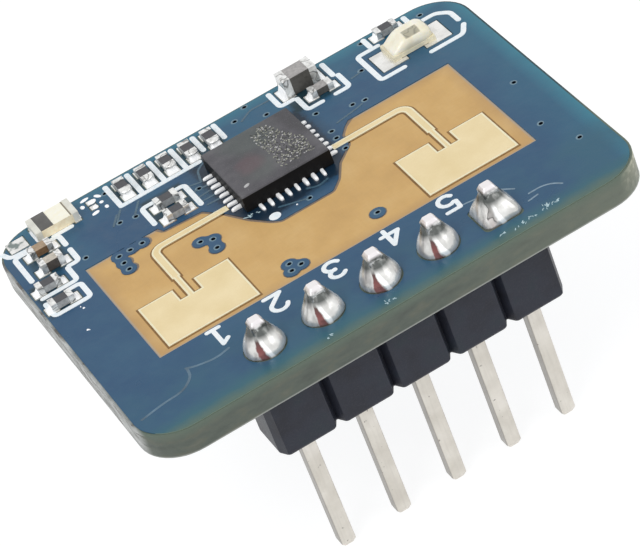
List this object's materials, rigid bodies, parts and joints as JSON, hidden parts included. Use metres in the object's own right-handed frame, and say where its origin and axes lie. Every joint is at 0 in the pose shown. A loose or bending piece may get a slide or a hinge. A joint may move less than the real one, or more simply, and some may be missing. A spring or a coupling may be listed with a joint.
{
  "type": "microwave radar sensor module",
  "caption": "Small rectangular blue circuit board with a square radar chip, two patch antennas in a bare window, a light sensor and a straight row of header pins below.",
  "frame": {"origin": "on the middle header pin's axis, at the underside of the header housing", "axes": "+X along the pin row, +Y from the pin row across the board, +Z the way the antennas look, pins point to -Z"},
  "size_m": [0.0218, 0.0166, 0.0117],
  "materials": {
    "laminate": "satin",
    "blue_mask": "gloss",
    "gold_plating": "satin",
    "white_print": "matte",
    "black_plastic": "satin",
    "tinned_pin": "satin",
    "solder": "gloss",
    "tinned_end": "satin",
    "chip_epoxy": "matte",
    "crystal_ceramic": "matte",
    "crystal_lid": "satin",
    "antenna_ceramic": "matte",
    "dark_print": "matte",
    "sensor_base": "satin",
    "sensor_lens": "gloss",
    "resistor_film": "satin",
    "grey_dielectric": "satin",
    "brown_dielectric": "satin"
  },
  "bodies": {
    "root": {"board_print": "white_print", "bulk_capacitor": "grey_dielectric", "bulk_capacitor_ends": "tinned_end", "bypass_capacitor": "grey_dielectric", "bypass_capacitor_ends": "tinned_end", "chip_antenna": "antenna_ceramic", "chip_antenna_ends": "tinned_end", "chip_antenna_mark": "dark_print", "circuit_board": "laminate", "controller_chip": "chip_epoxy", "controller_chip_leads": "solder", "crystal_base": "crystal_ceramic", "crystal_can": "crystal_lid", "header_housing": "black_plastic", "header_joint_1": "solder", "header_joint_2": "solder", "header_joint_3": "solder", "header_joint_4": "solder", "header_joint_5": "solder", "header_pin_1": "tinned_pin", "header_pin_2": "tinned_pin", "header_pin_3": "tinned_pin", "header_pin_4": "tinned_pin", "header_pin_5": "tinned_pin", "lands_top": "solder", "lands_under": "solder", "light_sensor_base": "sensor_base", "light_sensor_ends": "tinned_end", "light_sensor_lens": "sensor_lens", "match_resistor_1": "resistor_film", "match_resistor_2": "resistor_film", "match_resistor_ends": "tinned_end", "patch_antenna_left": "gold_plating", "patch_antenna_right": "gold_plating", "radar_chip": "chip_epoxy", "radar_chip_leads": "solder", "rear_resistor_1": "resistor_film", "rear_resistor_2": "resistor_film", "rear_resistor_3": "resistor_film", "rear_resistor_4": "resistor_film", "rear_resistor_5": "resistor_film", "rear_resistor_ends": "tinned_end", "regulator": "chip_epoxy", "regulator_leads": "tinned_end", "sensor_resistor": "resistor_film", "sensor_resistor_ends": "tinned_end", "side_capacitor_1": "brown_dielectric", "side_capacitor_2": "brown_dielectric", "side_part_ends": "tinned_end", "side_resistor_1": "resistor_film", "side_resistor_2": "resistor_film", "solder_mask_top": "blue_mask", "solder_mask_under": "blue_mask", "under_capacitor_1": "brown_dielectric", "under_capacitor_2": "brown_dielectric", "under_capacitor_3": "brown_dielectric", "under_capacitor_4": "brown_dielectric", "under_capacitor_ends": "tinned_end"}
  },
  "joints": []
}
